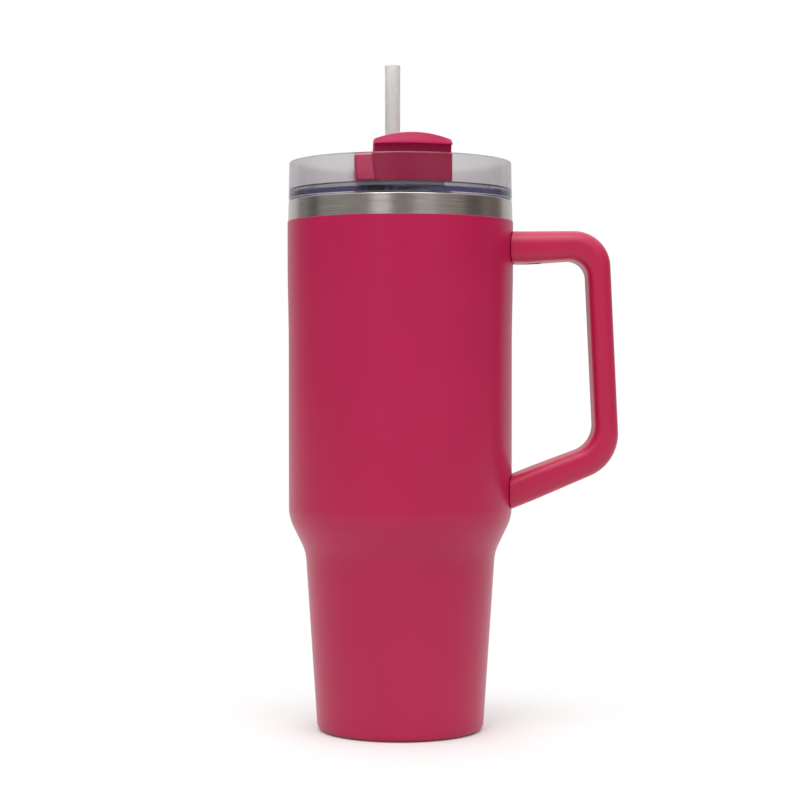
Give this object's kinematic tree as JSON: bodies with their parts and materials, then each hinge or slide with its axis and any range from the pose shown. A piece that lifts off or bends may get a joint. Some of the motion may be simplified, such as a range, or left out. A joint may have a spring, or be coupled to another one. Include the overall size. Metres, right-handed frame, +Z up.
{
  "type": "insulated tumbler with lid",
  "caption": "Tall vacuum-insulated steel tumbler with a stepped body, a side handle, a clear press-in lid with a turning cover, and a straw.",
  "frame": {"origin": "on the cup's axis, in the plane that the cup stands on, at the centre of the base cap's flat face", "axes": "+Z up along the cup's axis, +X to the handle, -Y to the side that the lid's thumb tab faces"},
  "size_m": [0.1448, 0.099, 0.2958],
  "materials": {
    "powder_coat": "soft low-gloss powder coat over steel",
    "pink_plastic": "satin moulded polypropylene",
    "steel": "brushed round the axis",
    "foil": "thin copper foil",
    "getter_metal": "sintered grey",
    "clear_plastic": "clear, polished",
    "straw_plastic": "translucent, pale grey",
    "silicone": "translucent white, matt",
    "dark_rubber": "dark, matt"
  },
  "bodies": {
    "cup": {"outer_shell": "powder_coat", "inner_liner": "steel", "liner_foil": "foil", "outer_base": "steel", "vacuum_seal": "getter_metal", "base_cap": "steel", "getter": "getter_metal", "handle": "pink_plastic", "upper_handle_bracket": "steel", "lower_handle_bracket": "steel", "upper_handle_screw": "steel", "lower_handle_screw": "steel", "upper_screw_plug": "dark_rubber", "lower_screw_plug": "dark_rubber"},
    "lid": {"lid_body": "clear_plastic", "lid_gasket": "silicone", "straw_grommet": "silicone"},
    "cover": {"rotating_cover": "pink_plastic", "sip_seal": "silicone", "cover_pivot_pin": "steel", "pivot_oring": "silicone"},
    "straw": {"straw": "straw_plastic"}
  },
  "joints": [
    {"name": "lid_lift", "type": "slide", "parent": "cup", "child": "lid", "axis": [0, 0, 1], "range_m": [0, 0.23]},
    {"name": "cover_turn", "type": "hinge", "parent": "lid", "child": "cover", "pos_m": [0, 0, 0.2377], "axis": [0, 0, -1], "range_deg": [0, 90]},
    {"name": "straw_pull", "type": "slide", "parent": "lid", "child": "straw", "axis": [0, 0, 1], "range_m": [0, 0.23]}
  ]
}
